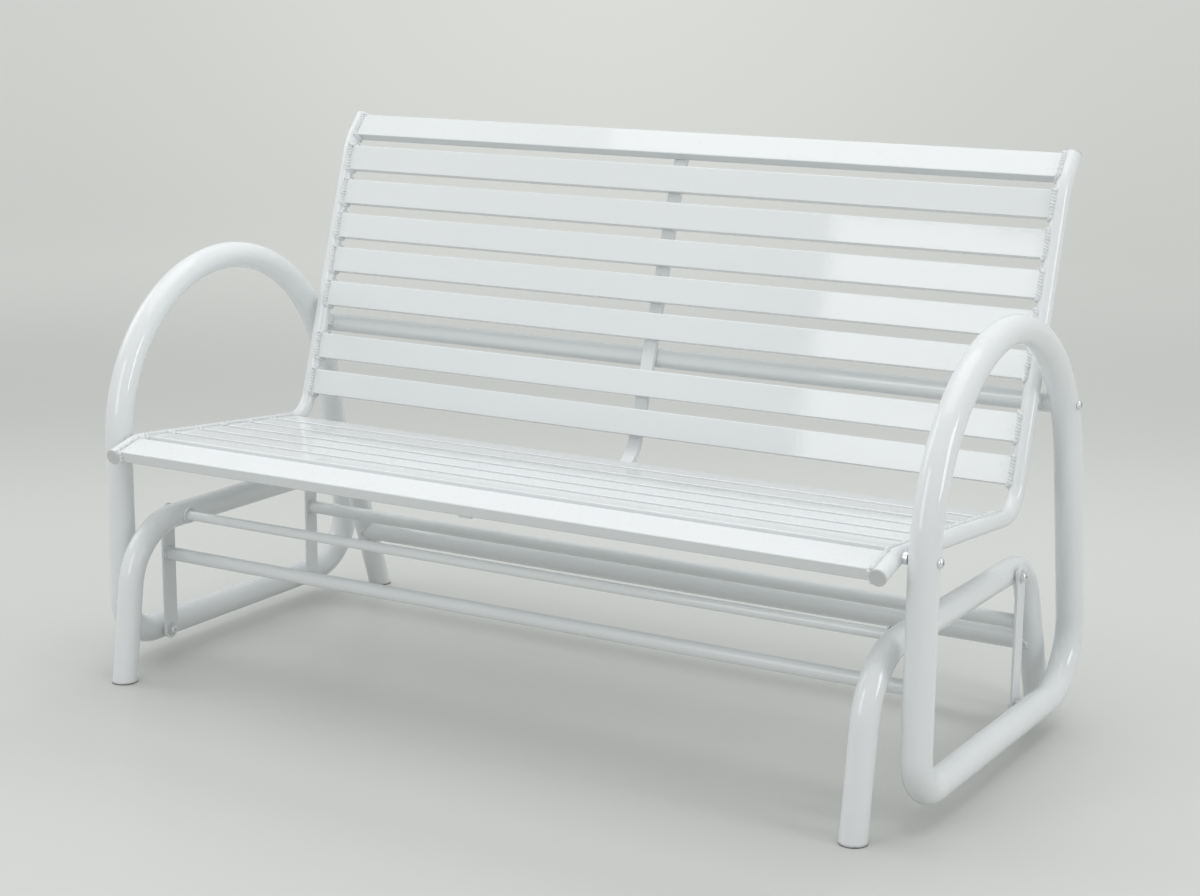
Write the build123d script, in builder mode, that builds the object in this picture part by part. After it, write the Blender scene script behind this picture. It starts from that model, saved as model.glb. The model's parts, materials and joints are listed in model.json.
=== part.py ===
from build123d import *
import math
import os

# ---------------------------------------------------------------------------
# Three-seat garden glider bench in bent and welded steel tube.
# Frame: +Z up, -Y is the way a sitter faces, X runs along the bench.
# Origin: on the floor, under the middle of the bench's bounding box.
# A point in side view is (y, z).  All sizes in millimetres, angles in degrees.
# ---------------------------------------------------------------------------

# Seat frame (side rails, slats, rib)
rail_half_spacing = 665.0      # bench middle to side rail centre-line
rail_od = 25.4
rail_wall = 1.5
seat_back_corner = (155.5, 349.0)   # where seat line and back line would cross
seat_run = 439.0               # nose corner to seat/back corner
seat_fall = 4.8                # seat falls to the back
back_run = 503.0               # seat/back corner to the top bend
back_lean = 17.2               # back leans behind the vertical
nose_run = 59.0                # free front end of the rail
nose_drop = 15.2               # front end points this far below level
top_run = 57.0                 # rolled-over top of the rail
top_lean = 39.8
nose_bend = 60.0
seat_bend = 55.0
top_bend = 120.0

slat_thickness = 19.0
slat_wall = 1.2
slat_corner = 2.0
seat_slat_width = 51.5
seat_slat_count = 7
seat_slat_gap = 14.3
seat_slat_start = 3.0          # bare rail in front of the first slat
back_slat_width = 44.0
back_slat_count = 8
back_slat_first = 44.5         # lowest back slat's lower edge above the corner
back_low_gap = 21.0            # between the two lowest back slats
back_tube_gap = 51.0           # wide gap that shows the cross tube
back_slat_gap = 17.5           # between the upper back slats

rib_width = 22.0
rib_thickness = 9.0
rib_end_margin = 10.0          # rib stops this far inside the outer slats

# Arm loops
arm_od = 44.0
arm_wall = 1.5
arm_gap = 6.3                  # rail side to arm side
arm_front_y = -282.5           # front post centre-line
arm_bottom_z = 48.0            # bottom run centre-line
arm_rear_corner_y = 341.5      # where bottom run and rear post would cross
arm_rear_lean = 10.4           # rear post leans forward going up
arm_top_z = 654.5              # crown centre-line
arm_front_bend = 65.0
arm_rear_bend = 98.0

# Base
overall_depth = 744.4          # front glide to rear glide
trim_size = 240.0              # edge of the blocks that cut legs and glides level
base_od = 40.0
base_wall = 1.5
base_top_z = 251.0
base_front_lean = 8.1
base_rear_lean = 19.2
base_front_bend = 110.0
base_rear_bend = 85.0
base_rear_tube_z = 115.0
glide_height = 4.0
glide_lip = 0.5                # glide stands proud of the leg
glide_plug = 14.0              # depth of the plug inside the leg

# Links and pivots
pivot_front_y = -206.5
pivot_rear_y = 177.5
link_width = 30.0
link_thickness = 5.0
link_edge = 0.8
link_tie_od = 22.0
link_tie_wall = 1.5
link_tie_drop = 71.0           # tie bar below the top pivots
bolt_d = 8.0
bolt_head_d = 14.0
bolt_head_h = 5.0
bolt_crown_r = 3.0
bolt_hex = 5.0
bolt_hex_depth = 2.6
bush_d = 13.0
bush_flange_d = 20.0
bush_flange = 1.5
top_spacer = 2.0
spacer_d = 18.0
swing_play = 0.2               # side clearance each side of a link
head_room = 0.6                # bolt head to arm loop
insert_d = 11.0
insert_length = 14.0
running_fit = 0.08             # radial, bolt in bush
thread_fit = 0.05              # radial, bolt in insert or clearance hole
plug_fit = 0.1                 # radial, plug in tube

# Front tie bar and back cross tube
front_tie_od = 16.0
front_tie_wall = 1.5
tie_flange_d = 26.0
tie_flange = 3.0
tie_plug_length = 25.0
back_tube_od = 32.0
back_tube_wall = 1.5
back_plug_length = 22.0
back_plug_inset = 12.0         # plug face behind the arm's inner side
saddle_width = 22.0
saddle_depth = 16.0
cap_thickness = 3.0
cap_plug = 12.0
cap_edge = 1.0

# ---------------------------------------------------------------------------
# Places that follow from the sizes above
# ---------------------------------------------------------------------------
arm_x = rail_half_spacing + rail_od / 2 + arm_gap + arm_od / 2
arm_inner = arm_x - arm_od / 2
arm_outer = arm_x + arm_od / 2
head_seat_top = arm_inner - head_room - bolt_head_h       # under a top bolt's head
link_outer = head_seat_top - swing_play - bush_flange
link_inner = link_outer - link_thickness
head_seat_bottom = link_inner - bush_flange - swing_play  # under a bottom bolt's head
base_face = head_seat_bottom - top_spacer
base_x = base_face - base_od / 2
base_inner = base_x - base_od / 2


def turned(degrees):
    """Unit (y, z) vector, measured from +Y towards +Z."""
    return math.cos(math.radians(degrees)), math.sin(math.radians(degrees))


def step(point, degrees, distance):
    dy, dz = turned(degrees)
    return point[0] + dy * distance, point[1] + dz * distance


def cut(p, a, q, b):
    """Crossing of the line through p at angle a with the line through q at angle b."""
    ay, az = turned(a)
    by, bz = turned(b)
    s = ((q[0] - p[0]) * bz - (q[1] - p[1]) * by) / (ay * bz - az * by)
    return p[0] + ay * s, p[1] + az * s


seat_angle = -seat_fall
back_angle = 90 - back_lean
top_angle = 90 - top_lean
rail_angles = [nose_drop, seat_angle, back_angle, top_angle]
nose_corner = step(seat_back_corner, seat_angle + 180, seat_run)
top_corner = step(seat_back_corner, back_angle, back_run)
rail_points = [
    step(nose_corner, nose_drop + 180, nose_run),
    nose_corner,
    seat_back_corner,
    top_corner,
    step(top_corner, top_angle, top_run),
]
rail_bends = [nose_bend, seat_bend, top_bend]


def bend_loss(radius, turn):
    """Length that a rounded corner saves on its two straight sides."""
    half = math.radians(abs(turn)) / 2
    return 2 * radius * (math.tan(half) - half)


nose_loss = bend_loss(nose_bend, nose_drop - seat_angle)
seat_loss = bend_loss(seat_bend, back_angle - seat_angle)
top_loss = bend_loss(top_bend, top_angle - back_angle)
corner_station = nose_run + seat_run - nose_loss - seat_loss
rail_length = corner_station + back_run + top_run - top_loss


def offset_route(points, angles, bends, distance):
    """The same route moved sideways; positive is the sitter's side."""
    ends = [step(points[0], angles[0] + 90, distance)]
    for i in range(1, len(angles)):
        p = step(points[i], angles[i - 1] + 90, distance)
        q = step(points[i], angles[i] + 90, distance)
        ends.append(cut(p, angles[i - 1], q, angles[i]))
    ends.append(step(points[-1], angles[-1] + 90, distance))
    radii = []
    for i, radius in enumerate(bends):
        left_turn = angles[i + 1] > angles[i]
        radii.append(radius - distance if left_turn else radius + distance)
    return ends, radii


# Arm loop side view: vertical front post, level bottom run, leaning rear post, round crown
rear_post_angle = 90 + arm_rear_lean
out_y, out_z = turned(arm_rear_lean)      # outward normal of the rear post
rear_reach = out_y * arm_rear_corner_y + out_z * arm_bottom_z
crown_radius = (rear_reach - out_y * arm_front_y - out_z * arm_top_z) / (1 + out_y - out_z)
crown = (arm_front_y + crown_radius, arm_top_z - crown_radius)
crown_front = (arm_front_y, crown[1])
crown_rear = (crown[0] + crown_radius * out_y, crown[1] + crown_radius * out_z)

# Base side view: inverted U with splayed legs
glide_od = base_od + 2 * glide_lip
foot_front_y = -overall_depth / 2 + glide_od / 2 / math.cos(math.radians(base_front_lean))
foot_rear_y = overall_depth / 2 - glide_od / 2 / math.cos(math.radians(base_rear_lean))
base_front_angle = 90 - base_front_lean
base_rear_angle = 90 + base_rear_lean
base_points = [
    (foot_front_y, 0),
    cut((foot_front_y, 0), base_front_angle, (0, base_top_z), 0),
    cut((foot_rear_y, 0), base_rear_angle, (0, base_top_z), 0),
    (foot_rear_y, 0),
]
base_bends = [base_front_bend, base_rear_bend]
rear_tube_spot = cut((foot_rear_y, 0), base_rear_angle, (0, base_rear_tube_z), 0)

# The back cross tube touches the rib's back and is centred on the arm loop's crown
back_tube_offset = slat_thickness / 2 + rib_thickness + back_tube_od / 2
tube_line = step(seat_back_corner, back_angle - 90, back_tube_offset)
uy, uz = turned(back_angle)
gy = tube_line[0] - crown[0]
gz = tube_line[1] - crown[1]
along = gy * uy + gz * uz
climb = -along + math.sqrt(along**2 - gy**2 - gz**2 + crown_radius**2)
back_tube_spot = step(tube_line, back_angle, climb)

link_tie_z = base_top_z - link_tie_drop
link_length = base_top_z - arm_bottom_z

os.makedirs("parts", exist_ok=True)


def save(piece, name):
    piece.label = name
    export_step(piece, f"parts/{name}.step")


def side_plane(x):
    """Sketch plane across the bench: local x is +Y, local y is +Z."""
    return Plane.YZ.offset(x)


def bent_tube(x, points, bends, outer, wall):
    """Tube bent along a side-view route; wall 0 gives its solid envelope."""
    with BuildPart() as tube:
        with BuildLine(side_plane(x)) as route:
            FilletPolyline(*points, radius=bends)
        with BuildSketch(Plane(origin=route.line @ 0, z_dir=route.line % 0)):
            Circle(outer / 2)
            if wall:
                Circle(outer / 2 - wall, mode=Mode.SUBTRACT)
        sweep()
    return tube.part


def straight_tube(start, end, spot, outer, wall):
    """Tube along X at a side-view spot; wall 0 gives its solid envelope."""
    with BuildPart() as tube:
        with BuildSketch(side_plane(start)):
            with Locations(spot):
                Circle(outer / 2)
                if wall:
                    Circle(outer / 2 - wall, mode=Mode.SUBTRACT)
        extrude(amount=end - start)
    return tube.part


def ring(start, end, spot, outer, bore):
    """Washer, spacer or insert along X at a side-view spot."""
    with BuildPart() as piece:
        with BuildSketch(side_plane(start)):
            with Locations(spot):
                Circle(outer / 2)
                Circle(bore / 2, mode=Mode.SUBTRACT)
        extrude(amount=end - start)
    return piece.part


def button_bolt(seat, tip, spot):
    """Button-head screw along X; seat is the plane under its head."""
    away = 1 if seat > tip else -1
    with BuildPart() as bolt:
        with BuildSketch(side_plane(min(seat, tip))):
            with Locations(spot):
                Circle(bolt_d / 2)
        extrude(amount=abs(seat - tip))
        with BuildSketch(side_plane(seat)):
            with Locations(spot):
                Circle(bolt_head_d / 2)
        extrude(amount=away * bolt_head_h)
        crown_edge = bolt.edges().filter_by(GeomType.CIRCLE).sort_by(Axis.X)[-1 if away > 0 else 0]
        fillet(crown_edge, radius=bolt_crown_r)
        with BuildSketch(side_plane(seat + away * bolt_head_h)):
            with Locations(spot):
                RegularPolygon(bolt_hex / 2, 6, major_radius=False)
        extrude(amount=-away * bolt_hex_depth, mode=Mode.SUBTRACT)
    return bolt.part


def flanged_bush(spot):
    """Nylon bush that fills a link's eye, with a flange each side, on the +X link."""
    with BuildPart() as bush:
        with BuildSketch(side_plane(link_inner - bush_flange)):
            with Locations(spot):
                Circle(bush_flange_d / 2)
        extrude(amount=bush_flange)
        with BuildSketch(side_plane(link_inner)):
            with Locations(spot):
                Circle(bush_d / 2)
        extrude(amount=link_thickness)
        with BuildSketch(side_plane(link_outer)):
            with Locations(spot):
                Circle(bush_flange_d / 2)
        extrude(amount=bush_flange)
        with BuildSketch(side_plane(link_inner - bush_flange)):
            with Locations(spot):
                Circle(bolt_d / 2 + running_fit)
        extrude(amount=link_thickness + 2 * bush_flange, mode=Mode.SUBTRACT)
    return bush.part


def on_both_sides(pieces):
    """The +X pieces and their mirror images, as one group of separate solids."""
    solids = []
    for piece in pieces:
        solids.extend(piece.solids())
        solids.extend(mirror(piece, about=Plane.YZ, mode=Mode.PRIVATE).solids())
    return Compound(children=solids)


def handed(piece, sign):
    """The +X piece itself, or its mirror image for the -X side."""
    return piece if sign > 0 else mirror(piece, about=Plane.YZ, mode=Mode.PRIVATE)


sides = (("left", -1), ("right", 1))
front_top = (pivot_front_y, base_top_z)
rear_top = (pivot_rear_y, base_top_z)
front_bottom = (pivot_front_y, arm_bottom_z)
rear_bottom = (pivot_rear_y, arm_bottom_z)
insert_hole = insert_d + 2 * thread_fit
bolt_hole = bolt_d + 2 * thread_fit

# ---------------------------------------------------------------------------
# Base: two inverted-U frames, rear tube, front tie bar, glides
# ---------------------------------------------------------------------------
base_envelope = bent_tube(base_x, base_points, base_bends, base_od, 0)

with BuildPart() as base_frame:
    add(bent_tube(base_x, base_points, base_bends, base_od, base_wall))
    with BuildSketch(Plane.XY.offset(-base_od)):
        with Locations((base_x, 0)):
            Rectangle(trim_size, 2 * overall_depth)
    extrude(amount=base_od + glide_height, mode=Mode.SUBTRACT)
    add(straight_tube(base_inner - base_wall, base_face + base_wall, front_top, bolt_hole, 0),
        mode=Mode.SUBTRACT)
    add(straight_tube(base_x, base_face + base_wall, rear_top, insert_hole, 0),
        mode=Mode.SUBTRACT)

for side, sign in sides:
    save(handed(base_frame.part, sign), f"base_frame_{side}")

for end, foot, angle in (("front", foot_front_y, base_front_angle), ("rear", foot_rear_y, base_rear_angle)):
    leg_dy, leg_dz = turned(angle)
    with BuildPart() as foot_glide:
        with BuildSketch(Plane(origin=(base_x, foot, 0), z_dir=(0, leg_dy, leg_dz))):
            Circle(glide_od / 2)
        extrude(amount=trim_size / 2, both=True)
        with BuildSketch(Plane.XY.offset(glide_height)):
            with Locations((base_x, foot)):
                Rectangle(trim_size, trim_size)
        extrude(amount=trim_size, mode=Mode.SUBTRACT)
        with BuildSketch(Plane(origin=(base_x, foot, 0), z_dir=(0, leg_dy, leg_dz))):
            Circle(base_od / 2 - base_wall - plug_fit)
        extrude(amount=glide_height + glide_plug)
        with BuildSketch(Plane.XY):
            with Locations((base_x, foot)):
                Rectangle(trim_size, trim_size)
        extrude(amount=-trim_size, mode=Mode.SUBTRACT)
    for side, sign in sides:
        save(handed(foot_glide.part, sign), f"foot_glide_{end}_{side}")

with BuildPart() as base_rear_tube:
    add(straight_tube(-base_x, base_x, rear_tube_spot, base_od, base_wall))
    add(base_envelope, mode=Mode.SUBTRACT)
    add(handed(base_envelope, -1), mode=Mode.SUBTRACT)
save(base_rear_tube.part, "base_rear_tube")

tie_end = base_inner - tie_flange
save(straight_tube(-tie_end, tie_end, front_top, front_tie_od, front_tie_wall), "front_tie_bar")
save(on_both_sides([ring(tie_end, base_inner, front_top, tie_flange_d, bolt_hole)]), "tie_flanges")
save(on_both_sides([ring(tie_end - tie_plug_length, tie_end, front_top,
                         front_tie_od - 2 * front_tie_wall - 2 * plug_fit, bolt_hole)]), "tie_end_plugs")
save(on_both_sides([ring(base_face - insert_length, base_face, rear_top, insert_d, bolt_hole)]),
     "base_pivot_inserts")
save(on_both_sides([ring(base_face, head_seat_bottom, spot, spacer_d, bolt_hole)
                    for spot in (front_top, rear_top)]), "top_pivot_spacers")
save(on_both_sides([button_bolt(head_seat_top, tie_end - tie_plug_length + tie_flange, front_top)]),
     "top_pivot_bolts_front")
save(on_both_sides([button_bolt(head_seat_top, base_face - insert_length, rear_top)]),
     "top_pivot_bolts_rear")

# ---------------------------------------------------------------------------
# Hangers: a pair of flat links, their tie bar and their bushes, front and rear
# ---------------------------------------------------------------------------
for end, pivot_y in (("front", pivot_front_y), ("rear", pivot_rear_y)):
    with BuildPart() as link:
        with BuildSketch(side_plane(link_inner)):
            with Locations((pivot_y, (base_top_z + arm_bottom_z) / 2)):
                SlotCenterToCenter(link_length, link_width, rotation=90)
        extrude(amount=link_thickness)
        rim = link.faces().filter_by(Axis.X).edges()
        chamfer(rim, length=link_edge)
        with BuildSketch(side_plane(link_inner)):
            with Locations((pivot_y, base_top_z), (pivot_y, arm_bottom_z)):
                Circle(bush_d / 2)
        extrude(amount=link_thickness, mode=Mode.SUBTRACT)
    for side, sign in sides:
        save(handed(link.part, sign), f"link_{end}_{side}")
    save(straight_tube(-link_inner, link_inner, (pivot_y, link_tie_z), link_tie_od, link_tie_wall),
         f"link_tie_{end}")
    save(on_both_sides([flanged_bush((pivot_y, z)) for z in (base_top_z, arm_bottom_z)]),
         f"link_bushes_{end}")

# ---------------------------------------------------------------------------
# Arm loops, with the pivots that hang them from the links
# ---------------------------------------------------------------------------


def arm_tube(wall):
    """Closed loop in two bends: the lower U, then the crown that closes it."""
    with BuildPart() as loop:
        with BuildLine(side_plane(arm_x)) as lower:
            FilletPolyline(
                crown_front,
                (arm_front_y, arm_bottom_z),
                (arm_rear_corner_y, arm_bottom_z),
                crown_rear,
                radius=[arm_front_bend, arm_rear_bend],
            )
        with BuildSketch(Plane(origin=lower.line @ 0, z_dir=lower.line % 0)):
            Circle(arm_od / 2)
            if wall:
                Circle(arm_od / 2 - wall, mode=Mode.SUBTRACT)
        sweep()
        with BuildLine(side_plane(arm_x)) as upper:
            ThreePointArc(crown_front, (crown[0], arm_top_z), crown_rear)
        with BuildSketch(Plane(origin=upper.line @ 0, z_dir=upper.line % 0)):
            Circle(arm_od / 2)
            if wall:
                Circle(arm_od / 2 - wall, mode=Mode.SUBTRACT)
        sweep()
    return loop.part


arm_envelope = arm_tube(0)
arm_bolt_spot = nose_corner

with BuildPart() as arm_loop:
    add(arm_tube(arm_wall))
    for spot in (front_bottom, rear_bottom):
        add(straight_tube(arm_inner - arm_wall, arm_x, spot, insert_hole, 0), mode=Mode.SUBTRACT)
    for spot in (arm_bolt_spot, back_tube_spot):
        add(straight_tube(arm_inner - arm_od, arm_outer + arm_od, spot, bolt_hole, 0), mode=Mode.SUBTRACT)

for side, sign in sides:
    save(handed(arm_loop.part, sign), f"arm_loop_{side}")

bottom_pivots = (front_bottom, rear_bottom)
save(on_both_sides([ring(arm_inner, arm_inner + insert_length, spot, insert_d, bolt_hole)
                    for spot in bottom_pivots]), "arm_pivot_inserts")
save(on_both_sides([ring(head_seat_top, arm_inner, spot, spacer_d, bolt_hole)
                    for spot in bottom_pivots]), "bottom_pivot_spacers")
save(on_both_sides([button_bolt(head_seat_bottom, arm_inner + insert_length, spot)
                    for spot in bottom_pivots]), "bottom_pivot_bolts")

# ---------------------------------------------------------------------------
# Seat frame: side rails with caps, cross tube, rib and slats
# ---------------------------------------------------------------------------
rail_envelope = bent_tube(rail_half_spacing, rail_points, rail_bends, rail_od, 0)
rail_outer = rail_half_spacing + rail_od / 2

with BuildPart() as seat_rail:
    add(bent_tube(rail_half_spacing, rail_points, rail_bends, rail_od, rail_wall))
    add(straight_tube(rail_half_spacing, rail_outer + rail_wall, arm_bolt_spot, insert_hole, 0),
        mode=Mode.SUBTRACT)

for side, sign in sides:
    save(handed(seat_rail.part, sign), f"seat_rail_{side}")

for end, point, angle in (("nose", rail_points[0], nose_drop + 180), ("top", rail_points[-1], top_angle)):
    cap_dy, cap_dz = turned(angle)
    with BuildPart() as rail_cap:
        with BuildSketch(Plane(origin=(rail_half_spacing, *point), z_dir=(0, cap_dy, cap_dz))):
            Circle(rail_od / 2)
        extrude(amount=cap_thickness)
        outer_edge = rail_cap.edges().sort_by(Axis((0, 0, 0), (0, cap_dy, cap_dz)))[-1]
        fillet(outer_edge, radius=cap_edge)
        with BuildSketch(Plane(origin=(rail_half_spacing, *point), z_dir=(0, cap_dy, cap_dz))):
            Circle(rail_od / 2 - rail_wall - plug_fit)
        extrude(amount=-cap_plug)
    for side, sign in sides:
        save(handed(rail_cap.part, sign), f"rail_{end}_cap_{side}")

save(on_both_sides([ring(rail_outer - insert_length, rail_outer, arm_bolt_spot, insert_d, bolt_hole)]),
     "rail_bolt_inserts")
save(on_both_sides([ring(rail_outer, arm_inner, arm_bolt_spot, spacer_d, bolt_hole)]), "arm_spacers")
save(on_both_sides([button_bolt(arm_outer, rail_outer - insert_length, arm_bolt_spot)]), "arm_bolts_front")
plug_face = arm_inner - back_plug_inset
save(on_both_sides([button_bolt(arm_outer, plug_face - back_plug_length, back_tube_spot)]), "arm_bolts_rear")
save(on_both_sides([ring(plug_face - back_plug_length, plug_face, back_tube_spot,
                         back_tube_od - 2 * back_tube_wall - 2 * plug_fit, bolt_hole)]), "back_tube_plugs")

back_tube_envelope = straight_tube(-arm_x, arm_x, back_tube_spot, back_tube_od, 0)
with BuildPart() as back_cross_tube:
    add(straight_tube(-arm_x, arm_x, back_tube_spot, back_tube_od, back_tube_wall))
    add(arm_envelope, mode=Mode.SUBTRACT)
    add(handed(arm_envelope, -1), mode=Mode.SUBTRACT)
save(back_cross_tube.part, "back_cross_tube")

# Saddles fill the space between a rail's back and the cross tube
saddle_dy, saddle_dz = turned(back_angle)
with BuildPart() as saddle:
    with BuildSketch(Plane(origin=(rail_half_spacing, *back_tube_spot),
                           x_dir=(1, 0, 0), z_dir=(0, -saddle_dz, saddle_dy))):
        Rectangle(saddle_width, saddle_depth)
    extrude(amount=back_tube_offset)
    add(rail_envelope, mode=Mode.SUBTRACT)
    add(back_tube_envelope, mode=Mode.SUBTRACT)
for side, sign in sides:
    save(handed(saddle.part, sign), f"tube_saddle_{side}")

with BuildLine(side_plane(0)) as rail_route:
    FilletPolyline(*rail_points, radius=rail_bends)
rail_line = rail_route.wires()[0]


def slat(station, width):
    """Hollow slat across the bench, centred on the rails at a distance along them."""
    spot = rail_line.position_at(station, position_mode=PositionMode.LENGTH)
    heading = rail_line.tangent_at(station, position_mode=PositionMode.LENGTH)
    with BuildPart() as bar:
        with BuildSketch(Plane(origin=spot, x_dir=heading, z_dir=(1, 0, 0))):
            RectangleRounded(width, slat_thickness, slat_corner)
            RectangleRounded(width - 2 * slat_wall, slat_thickness - 2 * slat_wall,
                             slat_corner - slat_wall, mode=Mode.SUBTRACT)
        extrude(amount=rail_half_spacing, both=True)
        add(rail_envelope, mode=Mode.SUBTRACT)
        add(handed(rail_envelope, -1), mode=Mode.SUBTRACT)
    return bar.part


seat_pitch = seat_slat_width + seat_slat_gap
for number in range(seat_slat_count):
    station = seat_slat_start + seat_slat_width / 2 + number * seat_pitch
    save(slat(station, seat_slat_width), f"seat_slat_{number + 1}")

# Back slats are numbered from the top; gaps are listed from the lowest up
back_gaps = [back_low_gap, back_tube_gap] + [back_slat_gap] * (back_slat_count - 3)
station = corner_station + back_slat_first + back_slat_width / 2
for number in range(back_slat_count):
    save(slat(station, back_slat_width), f"back_slat_{back_slat_count - number}")
    if number < len(back_gaps):
        station += back_slat_width + back_gaps[number]

# Rib: flat bar behind the slats, from the front slat to the top slat
rib_offset = -(slat_thickness + rib_thickness) / 2
rib_points, rib_bends = offset_route(rail_points, rail_angles, rail_bends, rib_offset)
rib_points[0] = step(rib_points[0], nose_drop, seat_slat_start + rib_end_margin)
bare_top = rail_length - station - back_slat_width / 2
rib_points[-1] = step(rib_points[-1], top_angle + 180, bare_top + rib_end_margin)
with BuildPart() as centre_rib:
    with BuildSketch(side_plane(-rib_width / 2)):
        with BuildLine():
            FilletPolyline(*rib_points, radius=rib_bends)
        trace(line_width=rib_thickness)
    extrude(amount=rib_width)
save(centre_rib.part, "centre_rib")
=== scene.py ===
import json
import math
import random

import bpy
from mathutils import Euler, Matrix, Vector


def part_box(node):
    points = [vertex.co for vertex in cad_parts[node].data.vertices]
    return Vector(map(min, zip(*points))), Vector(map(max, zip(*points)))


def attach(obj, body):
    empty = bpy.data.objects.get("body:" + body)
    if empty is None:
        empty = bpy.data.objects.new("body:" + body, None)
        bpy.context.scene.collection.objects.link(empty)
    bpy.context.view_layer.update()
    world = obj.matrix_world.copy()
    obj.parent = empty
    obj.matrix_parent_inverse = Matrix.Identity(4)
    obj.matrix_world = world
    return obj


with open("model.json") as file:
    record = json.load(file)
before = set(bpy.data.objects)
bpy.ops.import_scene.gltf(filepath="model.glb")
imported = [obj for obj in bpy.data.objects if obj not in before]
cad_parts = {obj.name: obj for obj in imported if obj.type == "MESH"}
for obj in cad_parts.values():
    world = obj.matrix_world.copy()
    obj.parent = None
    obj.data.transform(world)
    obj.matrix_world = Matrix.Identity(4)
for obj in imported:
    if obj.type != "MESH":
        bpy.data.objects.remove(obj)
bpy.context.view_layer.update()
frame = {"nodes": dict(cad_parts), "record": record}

# ---------------------------------------------------------------------------
# Garden glider bench: finishes, weld beads, floor, light and camera.
# Metres; +Z up, -Y is the way a sitter faces, X runs along the bench.
# ---------------------------------------------------------------------------
nodes = frame["nodes"]

SLAT_THICKNESS = 0.019
SLAT_CORNER = 0.002
SEAT_SLATS = [f"seat_slat_{i}" for i in range(1, 8)]
BACK_SLATS = [f"back_slat_{i}" for i in range(1, 9)]


# ---------------------------------------------------------------------------
# Shader maths
# ---------------------------------------------------------------------------
class Wire:
    """A shader node's output; arithmetic on it adds Math nodes."""

    def __init__(self, finish, socket):
        self.finish = finish
        self.socket = socket

    def math(self, operation, *others):
        return self.finish.make("ShaderNodeMath", {"operation": operation},
                                dict(enumerate((self, *others))))

    def flipped(self, operation, other):
        return self.finish.make("ShaderNodeMath", {"operation": operation}, {0: other, 1: self})

    def __add__(self, other):
        return self.math("ADD", other)

    def __radd__(self, other):
        return self.flipped("ADD", other)

    def __sub__(self, other):
        return self.math("SUBTRACT", other)

    def __rsub__(self, other):
        return self.flipped("SUBTRACT", other)

    def __mul__(self, other):
        return self.math("MULTIPLY", other)

    def __rmul__(self, other):
        return self.flipped("MULTIPLY", other)

    def __truediv__(self, other):
        return self.math("DIVIDE", other)

    def __rtruediv__(self, other):
        return self.flipped("DIVIDE", other)

    def __pow__(self, other):
        return self.math("POWER", other)


class Finish:
    """A material in the making: its nodes and its surface shader."""

    def __init__(self, name, **surface):
        self.material = bpy.data.materials.new(name)
        self.material.use_nodes = True
        self.tree = self.material.node_tree
        self.surface = self.tree.nodes["Principled BSDF"]
        for socket, value in surface.items():
            self.surface.inputs[socket.replace("_", " ")].default_value = value

    def make(self, kind, settings=None, sockets=None, out=0):
        """A node of that kind: its settings first, then values or wires for its sockets."""
        node = self.tree.nodes.new(kind)
        for name, value in (settings or {}).items():
            setattr(node, name, value)
        for name, value in (sockets or {}).items():
            if isinstance(value, Wire):
                self.tree.links.new(value.socket, node.inputs[name])
            else:
                node.inputs[name].default_value = value
        return Wire(self, node.outputs[out])

    def feed(self, socket, wire):
        self.tree.links.new(wire.socket, self.surface.inputs[socket])

    def place(self):
        """Position in the object's own space, which is the bench's frame at rest."""
        return self.make("ShaderNodeTexCoord", out="Object")

    def noise(self, size, detail=2.0, roughness=0.5):
        """Cloudy pattern from 0 to 1; size is roughly one lump, in metres."""
        return self.make("ShaderNodeTexNoise", None, {
            "Vector": self.place(), "Scale": 1 / size, "Detail": detail, "Roughness": roughness})

    def between(self, wire, low, high):
        """0 below low, 1 above high, smooth between."""
        return self.make("ShaderNodeMapRange", {"interpolation_type": "SMOOTHSTEP"}, {
            "Value": wire, "From Min": low, "From Max": high, "To Min": 0.0, "To Max": 1.0})

    def mix(self, factor, first, second):
        """Colour first where factor is 0, second where it is 1."""
        return self.make("ShaderNodeMix", {"data_type": "RGBA"}, {0: factor, 6: first, 7: second}, out=2)

    def bump(self, height, distance, strength=1.0, normal=None):
        sockets = {"Height": height, "Distance": distance, "Strength": strength}
        if normal:
            sockets["Normal"] = normal
        return self.make("ShaderNodeBump", None, sockets)

    def axes(self, where=None):
        """The three coordinates of a position, as separate wires."""
        split = self.make("ShaderNodeSeparateXYZ", None, {"Vector": where or self.place()})
        outputs = split.socket.node.outputs
        return [Wire(self, outputs[i]) for i in range(3)]


def rgba(red, green, blue):
    return red, green, blue, 1.0


# ---------------------------------------------------------------------------
# Finishes
# ---------------------------------------------------------------------------
COAT_IOR = 1.58
PLASTIC_IOR = 1.46
COAT_WHITE = rgba(0.80, 0.825, 0.835)
COAT_SHADE = rgba(0.75, 0.775, 0.785)
# painted shade for the faces of the coat that look down
COAT_PAINTED_UNDERSIDE_SHADE = rgba(0.50, 0.52, 0.53)
DUST = rgba(0.66, 0.65, 0.60)
LINK_WHITE = rgba(0.78, 0.805, 0.815)
LINK_SHADE = rgba(0.72, 0.745, 0.755)
# painted shade for the hollows of the weld beads
WELD_HOLLOW_PAINTED_SHADE = rgba(0.66, 0.68, 0.685)
BARE_STEEL = rgba(0.42, 0.42, 0.41)
ZINC = rgba(0.88, 0.89, 0.90)
ZINC_DULL = rgba(0.76, 0.77, 0.79)
ZINC_BLOOM = rgba(0.93, 0.93, 0.91)
# colour for the bottom few millimetres of what treads the floor
GLIDE_FOOT_DARK = rgba(0.13, 0.13, 0.125)


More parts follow.
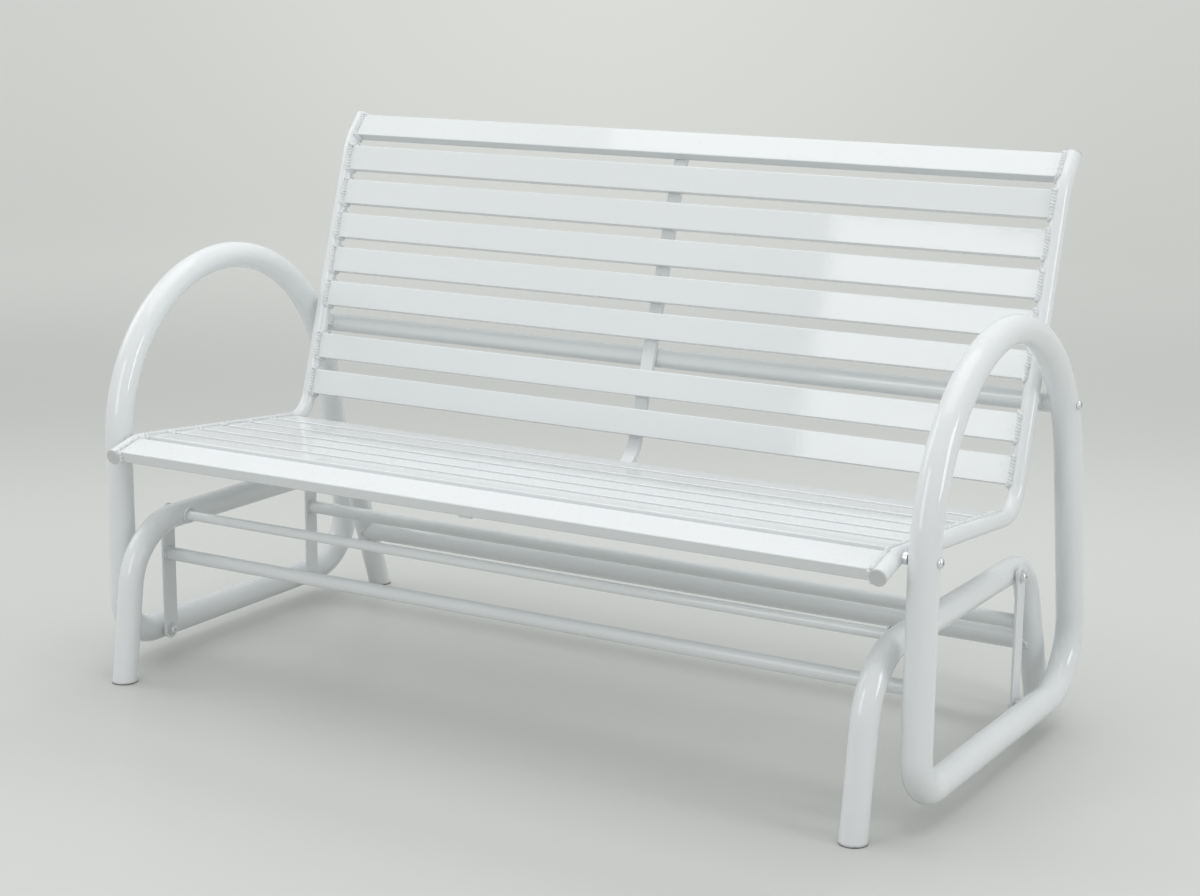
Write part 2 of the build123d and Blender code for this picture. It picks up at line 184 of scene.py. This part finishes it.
def powder_coat(name, peel=0.0045, peel_depth=0.000022, gloss=0.05, dusty=0.25, underside_painted_shade=0.10):
    """Gloss white powder coat, with painted shade on the faces that look down: orange peel, slow waviness,
    nibs, handling marks, dust.
    """
    coat = Finish(name, Roughness=gloss, IOR=COAT_IOR)
    drift = coat.noise(0.35, 3.0)
    cloud = coat.noise(0.03, 4.0, 0.6)
    dust = coat.between(coat.noise(0.012, 6.0, 0.65), 0.52, 0.8)
    up = coat.axes(coat.make("ShaderNodeNewGeometry", out="Normal"))[2]
    lying = coat.between(up, 0.2, 0.9)
    # painted shade: faces that look down are darkened towards a grey
    under = coat.between(0 - up, 0.0, 0.5)
    soft = coat.mix(under * underside_painted_shade, coat.mix(drift, COAT_WHITE, COAT_SHADE), COAT_PAINTED_UNDERSIDE_SHADE)
    coat.feed("Base Color", coat.mix(dust * lying * dusty, soft, DUST))

    marks = coat.between(coat.noise(0.0011, 5.0, 0.7), 0.66, 0.78)
    coat.feed("Roughness", gloss + cloud * 0.04 + marks * 0.05 + dust * lying * 0.12)

    skin = coat.noise(peel, 1.5, 0.45)
    fine = coat.noise(peel * 0.38, 1.0, 0.5)
    wave = coat.noise(0.06, 1.0)
    nib_field = coat.make("ShaderNodeTexVoronoi", None, {"Vector": coat.place(), "Scale": 70.0},
                          out="Distance")
    nibs = 1 - coat.between(nib_field, 0.015, 0.055)
    slow = coat.bump(wave, 0.0003, 0.5)
    peeled = coat.bump(skin + fine * 0.25, peel_depth, 1.0, slow)
    coat.feed("Normal", coat.bump(nibs, 0.00008, 0.6, peeled))
    return coat.material


def link_coat():
    """Powder coat on the swing links, rubbed to bare metal in a ring round each pivot."""
    coat = Finish("link_powder_coat", IOR=COAT_IOR)
    _, north, height = coat.axes()
    rubbed = None
    for link in ("link_front_right", "link_rear_right"):
        low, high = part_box(link)
        middle, half_width = (low.y + high.y) / 2, (high.y - low.y) / 2
        for pivot in (low.z + half_width, high.z - half_width):
            reach = ((north - middle) ** 2 + (height - pivot) ** 2) ** 0.5
            ring = 1 - coat.between(reach, half_width * 0.70, half_width * 0.80)
            rubbed = ring if rubbed is None else rubbed.math("MAXIMUM", ring)
    ragged = coat.noise(0.004, 4.0, 0.7)
    bare = coat.between(rubbed * 0.62 + ragged * 0.55, 0.80, 0.94)
    tone = coat.mix(coat.noise(0.2, 3.0), LINK_WHITE, LINK_SHADE)
    coat.feed("Base Color", coat.mix(bare, tone, BARE_STEEL))
    coat.feed("Metallic", bare)
    coat.feed("Roughness", 0.2 + coat.noise(0.02, 4.0) * 0.08 + bare * 0.14)
    skin = coat.noise(0.004, 1.5, 0.45)
    coat.feed("Normal", coat.bump(skin - bare * 0.8, 0.00006))
    return coat.material


def weld_coat():
    """Powder coat over weld metal: lumpy, with painted shade in the hollows of its bump."""
    coat = Finish("weld_powder_coat", IOR=COAT_IOR)
    lump = coat.noise(0.0028, 4.0, 0.6)
    # painted shade: darker where the lump noise, and so the bump, dips
    coat.feed("Base Color", coat.mix(lump, WELD_HOLLOW_PAINTED_SHADE, COAT_WHITE))
    coat.feed("Roughness", 0.10 + lump * 0.10)
    coat.feed("Normal", coat.bump(lump + coat.noise(0.0009, 3.0) * 0.4, 0.0004, 0.8))
    return coat.material


def zinc_plate():
    """Bright zinc on turned screws and washers: fine turning lines, dulled patches, a little white bloom."""
    zinc = Finish("zinc_plate", Metallic=1.0)
    patch = zinc.noise(0.006, 5.0, 0.65)
    bloom = zinc.between(zinc.noise(0.0025, 5.0, 0.7), 0.6, 0.75)
    zinc.feed("Base Color", zinc.mix(bloom * 0.5, zinc.mix(patch, ZINC, ZINC_DULL), ZINC_BLOOM))
    zinc.feed("Roughness", 0.30 + patch * 0.16 + bloom * 0.25)
    lines = zinc.make("ShaderNodeTexWave", {"wave_type": "RINGS", "rings_direction": "X"}, {
        "Vector": zinc.place(), "Scale": 900.0, "Distortion": 1.5, "Detail": 1.0})
    zinc.feed("Normal", zinc.bump(lines + patch, 0.00002, 0.6))
    return zinc.material


def moulded(name, light, dark, gloss, grain=0.0006, treads=False):
    """Injection-moulded plastic: fine spark grain and flow marks.

    What treads the floor also has scuffs and is darker along its bottom few millimetres.
    """
    plastic = Finish(name, IOR=PLASTIC_IOR)
    flow = plastic.noise(0.02, 3.0)
    tone = plastic.mix(flow, light, dark)
    rough = gloss + flow * 0.08
    if treads:
        scuff = plastic.between(plastic.noise(0.003, 6.0, 0.75), 0.50, 0.66)
        height = plastic.axes()[2]
        # darker along the bottom few millimetres, next to the floor
        dark_foot = 1 - plastic.between(height - scuff * 0.0010, 0.0008, 0.0026)
        tone = plastic.mix(dark_foot, plastic.mix(scuff * 0.45, tone, DUST), GLIDE_FOOT_DARK)
        rough = rough + scuff * 0.2
    plastic.feed("Base Color", tone)
    plastic.feed("Roughness", rough)
    plastic.feed("Normal", plastic.bump(plastic.noise(grain, 2.0), 0.00004, 0.6))
    return plastic.material


finishes = {
    "tube_powder_coat": powder_coat("tube_powder_coat"),
    # the slats get much heavier painted shade on the faces that look down
    "slat_powder_coat": powder_coat("slat_powder_coat", peel=0.0065, peel_depth=0.000045,
                                    gloss=0.03, dusty=0.35, underside_painted_shade=0.62),
    "link_powder_coat": link_coat(),
    "zinc_fastener": zinc_plate(),
    "bush_nylon": moulded("bush_nylon", rgba(0.74, 0.75, 0.73), rgba(0.66, 0.67, 0.65), 0.42),
    "cap_plastic": moulded("cap_plastic", rgba(0.60, 0.615, 0.61), rgba(0.54, 0.555, 0.55), 0.32),
    "glide_nylon": moulded("glide_nylon", rgba(0.66, 0.675, 0.67), rgba(0.57, 0.585, 0.58), 0.42,
                           treads=True),
}
weld_finish = weld_coat()

slot_of = {part["node"]: part["material_slot"] for part in frame["record"]["subparts"]}
for name, piece in nodes.items():
    for material_slot in piece.material_slots:
        material_slot.material = finishes[slot_of[name]]


# ---------------------------------------------------------------------------
# Weld beads
# ---------------------------------------------------------------------------
dice = random.Random(7)


class Bead:
    """Collects weld beads into one mesh; each bead is a rippled, closed shell along a route."""

    ROUND = 12           # points round the bead
    STEP = 0.0006        # spacing of its rings along the route
    RIPPLE = 0.0052      # length of one ripple
    LUMP = 0.006         # spacing of its thick and thin places
    VALLEY = 0.72        # thickness between two ripples, as a share of the radius
    CREST = 0.46         # what a ripple's top adds to that
    CRESCENT = 0.22      # how far a ripple's flanks trail its top, in ripples
    SURVEY = 64          # straight spans that a route's length is measured over
    NUDGE = 0.002        # share of the route looked ahead and behind for its direction
    DROP_SIDES = 8       # points round a drop of spatter
    DROP_LEVELS = 4      # rings from a drop's top to its foot

    def __init__(self, name, body):
        self.name = name
        self.body = body
        self.points = []
        self.faces = []

    def run(self, route, closed, radius):
        """Adds a bead along route, a function of 0..1 that gives its centre-line."""
        samples = [route(i / self.SURVEY) for i in range(self.SURVEY + 1)]
        length = sum((b - a).length for a, b in zip(samples, samples[1:]))
        count = max(8, round(length / self.STEP))
        first = len(self.points)
        rings = count if closed else count + 1
        phase = dice.random()
        lumps = [dice.uniform(0.82, 1.16) for _ in range(max(3, round(length / self.LUMP)))]
        for i in range(rings):
            share = i / count
            centre = route(share)
            ahead = route((share + self.NUDGE) % 1.0 if closed else min(1.0, share + self.NUDGE))
            behind = route((share - self.NUDGE) % 1.0 if closed else max(0.0, share - self.NUDGE))
            along = (ahead - behind).normalized()
            across = along.cross(Vector((0.31, 0.52, 0.79))).normalized()
            other = along.cross(across)
            lump = self.lump_at(lumps, share, closed)
            taper = 1.0 if closed else self.taper(share * length, length, radius)
            for j in range(self.ROUND):
                angle = 2 * math.pi * j / self.ROUND
                crescent = self.CRESCENT * math.cos(angle * 2)
                ripple = (share * length / self.RIPPLE + phase + crescent) % 1.0
                size = radius * lump * taper * (self.VALLEY + self.CREST * math.sin(math.pi * ripple))
                self.points.append(centre + size * (math.cos(angle) * across + math.sin(angle) * other))
        for i in range(count):
            here = first + i * self.ROUND
            there = first + ((i + 1) % rings) * self.ROUND
            for j in range(self.ROUND):
                k = (j + 1) % self.ROUND
                self.faces.append((here + j, here + k, there + k, there + j))
        if not closed:
            self.faces.append(tuple(first + j for j in reversed(range(self.ROUND))))
            last = first + count * self.ROUND
            self.faces.append(tuple(last + j for j in range(self.ROUND)))

    @staticmethod
    def lump_at(lumps, share, closed):
        """Thickness at a share of the route, eased from one lump to the next."""
        spot = share * len(lumps)
        i = int(spot) % len(lumps)
        k = (i + 1) % len(lumps) if closed else min(i + 1, len(lumps) - 1)
        blend = spot - int(spot)
        blend = blend * blend * (3 - 2 * blend)
        return lumps[i] * (1 - blend) + lumps[k] * blend

    @staticmethod
    def taper(spot, length, radius):
        """Rounds off the two ends of an open bead."""
        edge = min(spot, length - spot) / (1.6 * radius)
        return math.sqrt(max(0.02, min(1.0, edge) * (2 - min(1.0, edge))))

    def spatter(self, spot, normal, radius):
        """A few tiny drops of weld metal near a bead."""
        first = len(self.points)
        side = normal.cross(Vector((0.9, 0.2, 0.4))).normalized()
        other = normal.cross(side)
        sides, levels = self.DROP_SIDES, self.DROP_LEVELS
        for i in range(1, levels + 1):
            rise = math.pi * i / (2 * levels)
            for j in range(sides):
                angle = 2 * math.pi * j / sides
                flat = math.sin(rise) * (math.cos(angle) * side + math.sin(angle) * other)
                self.points.append(spot + radius * (flat + (math.cos(rise) - 0.25) * normal))
        top = len(self.points)
        self.points.append(spot + radius * 0.75 * normal)
        for j in range(sides):
            k = (j + 1) % sides
            self.faces.append((top, first + j, first + k))
            for i in range(levels - 1):
                here = first + sides * i
                self.faces.append((here + j, here + sides + j, here + sides + k, here + k))
        self.faces.append(tuple(first + sides * (levels - 1) + j for j in reversed(range(sides))))

    def build(self):
        """Makes the mesh piece and rides it on its body."""
        mesh = bpy.data.meshes.new(self.name)
        mesh.from_pydata([tuple(p) for p in self.points], [], self.faces)
        mesh.validate()
        mesh.update()
        mesh.polygons.foreach_set("use_smooth", [True] * len(mesh.polygons))
        mesh.materials.append(weld_finish)
        piece = bpy.data.objects.new(self.name, mesh)
        bpy.context.scene.collection.objects.link(piece)
        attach(piece, self.body)


TILT_ROUNDS = 60         # rounds that settle a slat's tilt from its box
SLAT_BEAD = 0.0038       # radius of the bead round a slat's end
SLAT_BEAD_OUT = 0.0007   # how far outside the slat's outline its middle runs
SLAT_BEAD_IN = 0.0008    # how far it stands off the rail
RIB_BEAD = 0.0024
RIB_BEAD_OUT = 0.0006
DROPS_PER_END = 5


class SlatPose:
    """Where a slat sits in side view: its middle, its tilt and its width."""

    def __init__(self, node):
        low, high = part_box(node)
        self.middle = Vector((0.0, (low.y + high.y) / 2, (low.z + high.z) / 2))
        square = SLAT_THICKNESS - 2 * SLAT_CORNER
        span_y = high.y - low.y - 2 * SLAT_CORNER
        span_z = high.z - low.z - 2 * SLAT_CORNER
        tilt = math.atan2(span_z, span_y)
        for _ in range(TILT_ROUNDS):
            tilt = math.atan2(span_z - square * math.cos(tilt), span_y - square * math.sin(tilt))
        flat = (span_y - square * math.sin(tilt)) / math.cos(tilt)
        self.width = flat + 2 * SLAT_CORNER
        lean = sum((v.co.y - self.middle.y) * (v.co.z - self.middle.z) for v in nodes[node].data.vertices)
        tilt = math.copysign(tilt, lean)
        self.along = Vector((0.0, math.cos(tilt), math.sin(tilt)))
        self.out = Vector((0.0, -math.sin(tilt), math.cos(tilt)))


rail_low, rail_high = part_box("seat_rail_right")
RAIL_X = (rail_low.x + rail_high.x) / 2
RAIL_RADIUS = (rail_high.x - rail_low.x) / 2


def slat_outline(pose, share, grow):
    """Point on a slat's rounded outline, as (along, out), grow outside it."""
    half_w = pose.width / 2 - SLAT_CORNER
    half_t = SLAT_THICKNESS / 2 - SLAT_CORNER
    corner = SLAT_CORNER + grow
    arc = math.pi / 2 * corner
    sides = (2 * half_w, 2 * half_t, 2 * half_w, 2 * half_t)
    walk = (share % 1.0) * (sum(sides) + 4 * arc)
    centres = ((half_w, half_t), (half_w, -half_t), (-half_w, -half_t), (-half_w, half_t))
    for i, side in enumerate(sides):
        normal = math.pi / 2 * (1 - i)
        if walk < side:
            end = centres[i]
            back = side - walk
            direction = (math.sin(normal), -math.cos(normal))
            return (end[0] + corner * math.cos(normal) - back * direction[0],
                    end[1] + corner * math.sin(normal) - back * direction[1])
        walk -= side
        if walk < arc:
            turn = normal - walk / corner
            return (centres[i][0] + corner * math.cos(turn), centres[i][1] + corner * math.sin(turn))
        walk -= arc
    return half_w, half_t + corner


def weld_slat_end(bead, pose, sign):
    """Bead all round a slat's end, in the corner between slat and rail."""
    def route(share):
        along, out = slat_outline(pose, share, SLAT_BEAD_OUT)
        depth = math.sqrt(max(0.0, RAIL_RADIUS**2 - out**2))
        spot = pose.middle + along * pose.along + out * pose.out
        return Vector((sign * (RAIL_X - depth - SLAT_BEAD_IN), spot.y, spot.z))
    bead.run(route, True, SLAT_BEAD)
    for _ in range(DROPS_PER_END):
        reach = dice.uniform(0.006, 0.016)
        spot = pose.middle + dice.uniform(-0.4, 0.4) * pose.width * pose.along
        spot = spot + SLAT_THICKNESS / 2 * pose.out
        spot.x = sign * (RAIL_X - RAIL_RADIUS - reach)
        bead.spatter(spot, pose.out, dice.uniform(0.0004, 0.0009))


def weld_rib(bead, pose):
    """Two short beads that tie the rib to a slat's back."""
    low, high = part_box("centre_rib")
    rib_half = (high.x - low.x) / 2
    for sign in (-1, 1):
        start = dice.uniform(-0.38, -0.30) * pose.width
        end = dice.uniform(0.30, 0.38) * pose.width

        def route(share, sign=sign, start=start, end=end):
            spot = pose.middle - (SLAT_THICKNESS / 2 + RIB_BEAD_OUT) * pose.out
            spot = spot + (start + (end - start) * share) * pose.along
            spot.x = sign * (rib_half + RIB_BEAD_OUT)
            return spot
        bead.run(route, False, RIB_BEAD)


def weld_ring(bead, x, y, z, ring_radius, radius):
    """Bead round a tube that runs along X, where it meets a flat face at x."""
    def route(share):
        angle = 2 * math.pi * share
        return Vector((x, y + ring_radius * math.cos(angle), z + ring_radius * math.sin(angle)))
    bead.run(route, True, radius)


for group, slats in (("seat", SEAT_SLATS), ("back", BACK_SLATS)):
    poses = [SlatPose(name) for name in slats]
    for side, sign in (("left", -1), ("right", 1)):
        ends = Bead(f"{group}_slat_welds_{side}", "glider")
        for pose in poses:
            weld_slat_end(ends, pose, sign)
        ends.build()
    rib = Bead(f"{group}_rib_welds", "glider")
    for pose in poses:
        weld_rib(rib, pose)
    rib.build()

def weld_tube_end(bead, node, sign, sink, proud, radius):
    """Bead round one end of a tube that runs along X; its ring sinks in from the end and stands proud."""
    low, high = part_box(node)
    weld_ring(bead, sign * (high.x - sink), (low.y + high.y) / 2, (low.z + high.z) / 2,
              (high.z - low.z) / 2 + proud, radius)


for end in ("front", "rear"):
    hanger = Bead(f"link_tie_welds_{end}", f"{end}_hanger")
    for sign in (-1, 1):
        weld_tube_end(hanger, f"link_tie_{end}", sign, 0.0008, 0.0005, 0.0022)
    hanger.build()


def weld_rear_tube(bead, sign):
    """Bead where the rear tube meets a leg, saddled over the leg's round side."""
    low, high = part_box("base_rear_tube")
    leg_low, leg_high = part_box("base_frame_right")
    glide_low, glide_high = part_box("foot_glide_rear_right")
    ring_radius = (high.z - low.z) / 2 + 0.0004
    leg_radius = (leg_high.x - leg_low.x) / 2
    leg_x = (leg_high.x + leg_low.x) / 2
    tube_y, tube_z = (low.y + high.y) / 2, (low.z + high.z) / 2
    leg_lean = math.atan2((glide_low.y + glide_high.y) / 2 - tube_y, tube_z)

    def route(share):
        angle = 2 * math.pi * share
        dy, dz = ring_radius * math.cos(angle), ring_radius * math.sin(angle)
        beside = dy * math.cos(leg_lean) + dz * math.sin(leg_lean)
        depth = math.sqrt(max(0.0, leg_radius**2 - beside**2))
        return Vector((sign * (leg_x - depth - 0.0006), tube_y + dy, tube_z + dz))
    bead.run(route, True, 0.0027)


base_welds = Bead("base_welds", "base")
for sign in (-1, 1):
    weld_rear_tube(base_welds, sign)
    weld_tube_end(base_welds, "front_tie_bar", sign, 0.0006, 0.0004, 0.0016)
base_welds.build()


# ---------------------------------------------------------------------------
# Floor, light and camera
# ---------------------------------------------------------------------------
CAMERA_SPOT = Vector((1.8262, -3.0177, 1.1782))
CAMERA_AZIMUTH = 30.64
CAMERA_ELEVATION = 12.41
CAMERA_ROLL = 0.5
CAMERA_LENS = 68.66
CAMERA_SENSOR = 36.0
FLOOR_REACH = 150.0
FLOOR_PALE = rgba(0.590, 0.600, 0.578)
FLOOR_SHADE = rgba(0.38, 0.387, 0.365)
SWEEP_LIGHT = rgba(1.0, 1.01, 0.96)
ROOM_LOW = rgba(0.74, 0.75, 0.735)
ROOM_HIGH = rgba(0.98, 0.99, 1.0)
ROOM_STRENGTH = 0.70

heading = math.radians(CAMERA_AZIMUTH)
away = Vector((-math.sin(heading), math.cos(heading), 0.0))
aside = Vector((math.cos(heading), math.sin(heading), 0.0))


def studio_floor():
    """Pale glossy floor that turns to a matt, self-lit sweep, with a soft shaded band where they meet."""
    ground = Finish("studio_floor", IOR=1.45, Emission_Strength=1.0)
    position = ground.place()
    distance = ground.make("ShaderNodeVectorMath", {"operation": "DOT_PRODUCT"},
                           {0: position, 1: tuple(away)}, out="Value")
    sideways = ground.make("ShaderNodeVectorMath", {"operation": "DOT_PRODUCT"},
                           {0: position, 1: tuple(aside)}, out="Value")
    reach = ground.make("ShaderNodeVectorMath", {"operation": "LENGTH"}, {0: position}, out="Value")
    foot = 2.2            # where the flat floor starts to turn into the matt, self-lit sweep
    band_near = 1.3       # the shaded band starts this far before the foot
    band_far = 2.2        # and fades out this far past it
    glow_full = 5.5       # distance at which the sweep's own light is full
    fan_start = 3.5       # how far behind the camera side the bright fan's edges meet
    sweep = ground.between(reach, foot, foot + 1.5)
    past_foot = ground.between(distance, foot, foot + band_far)
    band = (1 - past_foot) * ground.between(distance, foot - band_near, foot)
    ground.feed("Base Color", ground.mix(band * 0.30, FLOOR_PALE, FLOOR_SHADE))
    ground.feed("Roughness", 0.34 + ground.noise(0.8, 3.0) * 0.04 + sweep * 0.5)

    fade = (1 - (foot / reach.math("MAXIMUM", foot)) ** 1.5) * ground.between(reach, foot, glow_full)
    fan = (sideways / (distance.math("MAXIMUM", 0.0) + fan_start)).math("ABSOLUTE")
    centre = (1 - ground.between(fan, 0.0, 0.27)) * ground.between(distance, 0.5, 4.0)
    glow = fade * (0.230 + centre * 0.085)
    ground.feed("Emission Color", ground.mix(glow, rgba(0.0, 0.0, 0.0), SWEEP_LIGHT))
    return ground.material


def add_floor():
    corners = [(x * FLOOR_REACH, y * FLOOR_REACH, 0) for x, y in ((-1, -1), (1, -1), (1, 1), (-1, 1))]
    mesh = bpy.data.meshes.new("studio_floor")
    mesh.from_pydata(corners, [], [(0, 1, 2, 3)])
    mesh.materials.append(studio_floor())
    floor = bpy.data.objects.new("studio_floor", mesh)
    bpy.context.scene.collection.objects.link(floor)


def add_softbox(name, spot, aim, size, power, mirrored=True, roll=0.0):
    """Rectangular lamp; one that isn't mirrored doesn't show in the gloss."""
    lamp = bpy.data.lights.new(name, "AREA")
    lamp.shape = "RECTANGLE"
    lamp.size, lamp.size_y = size
    lamp.energy = power
    holder = bpy.data.objects.new(name, lamp)
    holder.location = spot
    holder.rotation_euler = (Vector(aim) - Vector(spot)).to_track_quat("-Z", "Y").to_euler()
    holder.rotation_euler.rotate_axis("Z", math.radians(roll))
    holder.visible_camera = False
    holder.visible_glossy = mirrored
    bpy.context.scene.collection.objects.link(holder)


def add_room_light():
    """Even pale light from all round, a little brighter overhead."""
    world = bpy.data.worlds.new("studio_air")
    bpy.context.scene.world = world
    world.use_nodes = True
    tree = world.node_tree
    sky = tree.nodes["Background"]
    place = tree.nodes.new("ShaderNodeTexCoord")
    split = tree.nodes.new("ShaderNodeSeparateXYZ")
    ramp = tree.nodes.new("ShaderNodeValToRGB")
    tree.links.new(place.outputs["Generated"], split.inputs[0])
    tree.links.new(split.outputs["Z"], ramp.inputs["Fac"])
    tree.links.new(ramp.outputs["Color"], sky.inputs["Color"])
    ramp.color_ramp.elements[0].position = 0.0
    ramp.color_ramp.elements[0].color = ROOM_LOW
    ramp.color_ramp.elements[1].position = 0.9
    ramp.color_ramp.elements[1].color = ROOM_HIGH
    sky.inputs["Strength"].default_value = ROOM_STRENGTH


def add_camera():
    camera = bpy.data.cameras.new("studio_camera")
    camera.lens = CAMERA_LENS
    camera.sensor_width = CAMERA_SENSOR
    holder = bpy.data.objects.new("studio_camera", camera)
    holder.location = CAMERA_SPOT
    level = math.radians(90 - CAMERA_ELEVATION)
    holder.rotation_euler = Euler((level, 0.0, heading), "XYZ")
    holder.rotation_euler.rotate_axis("Z", math.radians(CAMERA_ROLL))
    bpy.context.scene.collection.objects.link(holder)
    bpy.context.scene.camera = holder


add_floor()
add_room_light()
add_softbox("overhead_softbox", spot=(0.0, 0.0, 3.6), aim=(0.0, 0.0, 0.0), size=(3.6, 2.6), power=35.0)
add_softbox("front_softbox", spot=(-0.34, -2.05, 1.29), aim=(0.31, 0.0, 1.29), size=(0.85, 1.31),
            power=7.8, roll=6.5)
add_softbox("side_softbox", spot=(2.9, -0.35, 1.35), aim=(0.3, -0.1, 0.5), size=(0.75, 1.3), power=12.5)
add_softbox("back_softbox", spot=(0.0, 2.8, 3.0), aim=(0.0, 0.0, 0.4), size=(3.6, 1.8), power=40.0,
            mirrored=False)
add_softbox("left_softbox", spot=(-3.0, -0.6, 2.4), aim=(0.0, 0.0, 0.4), size=(1.8, 1.8), power=17.0)
add_camera()
bpy.context.scene.view_settings.view_transform = "Standard"
